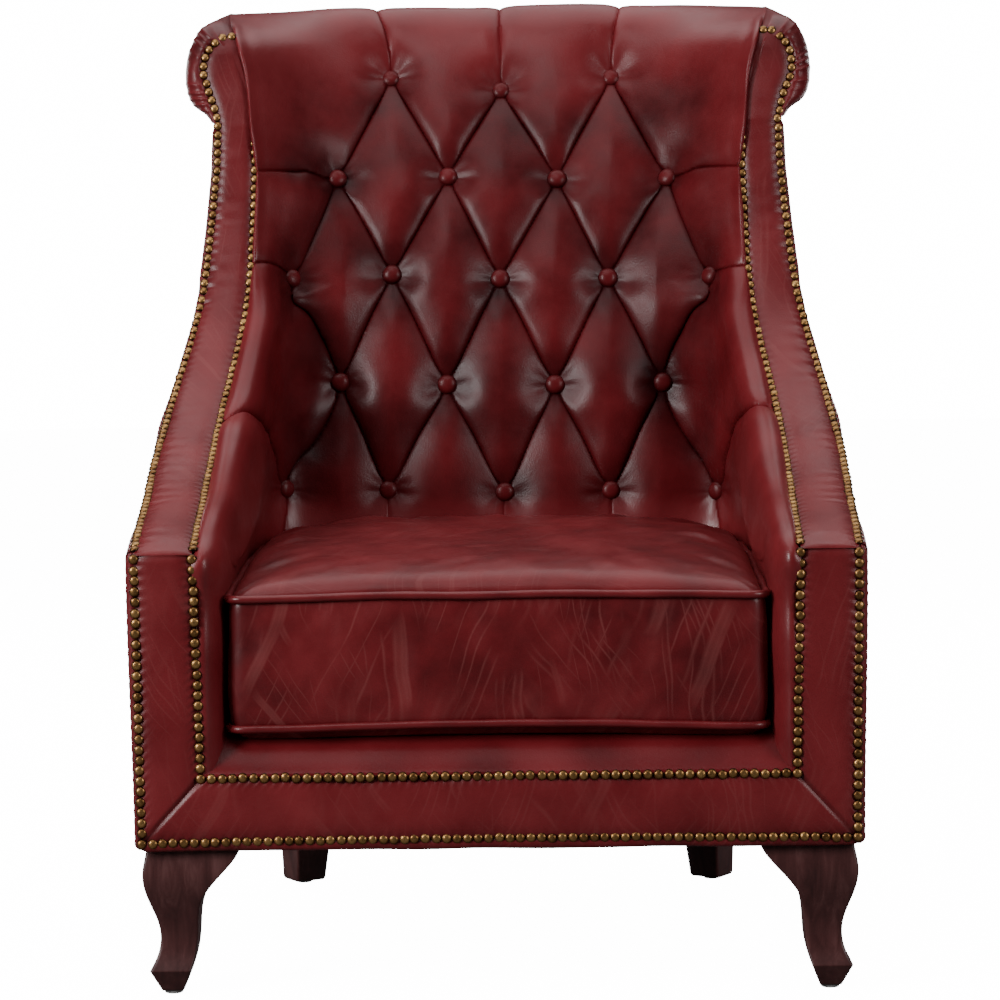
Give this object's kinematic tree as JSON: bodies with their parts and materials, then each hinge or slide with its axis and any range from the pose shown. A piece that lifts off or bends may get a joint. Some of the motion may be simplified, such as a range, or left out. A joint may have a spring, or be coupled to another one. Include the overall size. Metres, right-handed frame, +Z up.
{
  "type": "lounge chair",
  "caption": "Upright lounge chair in button-tufted leather with a rolled back, ears, sloping nail-trimmed arms, a loose box seat cushion and cabriole front legs.",
  "frame": {"origin": "on the floor, under the middle of the bounding box", "axes": "+Z up; the chair faces -Y; +X is to the right when it is looked at from the front"},
  "size_m": [0.781, 0.8034, 1.1035],
  "materials": {
    "leather": "semi-gloss oxblood pull-up leather",
    "brass_nails": "antique brass",
    "frame_timber": "sawn hardwood",
    "leg_timber": "dark mahogany stain, satin",
    "steel": "plain",
    "zip": "dark",
    "glide": "matte",
    "dust_cloth": "non-woven",
    "webbing": "woven",
    "foam": "foam"
  },
  "bodies": {
    "chair_frame": {"back_webbing": "webbing", "button_twines": "webbing", "corner_blocks": "frame_timber", "crest_rail": "frame_timber", "crest_roll": "leather", "dust_cover": "dust_cloth", "floor_glides": "glide", "front_border": "leather", "front_border_nails": "brass_nails", "front_left_leg": "leg_timber", "front_lip": "leather", "front_right_leg": "leg_timber", "front_seat_rail": "frame_timber", "inside_back_pad": "leather", "left_arm_board": "frame_timber", "left_arm_facing": "leather", "left_back_post": "frame_timber", "left_band_nails": "brass_nails", "left_ear_block": "frame_timber", "left_ear_face": "leather", "left_ear_wrap": "leather", "left_facing_nails": "brass_nails", "left_front_post": "frame_timber", "left_inside_arm": "leather", "left_outside_arm": "leather", "left_side_band": "leather", "left_side_rail": "frame_timber", "leg_bolts": "steel", "leg_nuts": "steel", "leg_plates": "steel", "lower_back_rail": "frame_timber", "outside_back": "leather", "rear_left_leg": "leg_timber", "rear_right_leg": "leg_timber", "rear_seat_rail": "frame_timber", "right_arm_board": "frame_timber", "right_arm_facing": "leather", "right_back_post": "frame_timber", "right_band_nails": "brass_nails", "right_ear_block": "frame_timber", "right_ear_face": "leather", "right_ear_wrap": "leather", "right_facing_nails": "brass_nails", "right_front_post": "frame_timber", "right_inside_arm": "leather", "right_outside_arm": "leather", "right_side_band": "leather", "right_side_rail": "frame_timber", "seat_deck": "leather", "seat_springs": "steel", "spring_clips": "steel", "tuft_buttons": "leather"},
    "loose_cushion": {"seat_cushion_bottom_panel": "leather", "seat_cushion_bottom_welt": "leather", "seat_cushion_boxing": "leather", "seat_cushion_foam": "foam", "seat_cushion_top_panel": "leather", "seat_cushion_top_welt": "leather", "seat_cushion_zip": "zip"}
  },
  "joints": [
    {"name": "cushion_lift_out", "type": "slide", "parent": "chair_frame", "child": "loose_cushion", "axis": [0, -0.995, 0.0999], "range_m": [0, 0.6]}
  ]
}
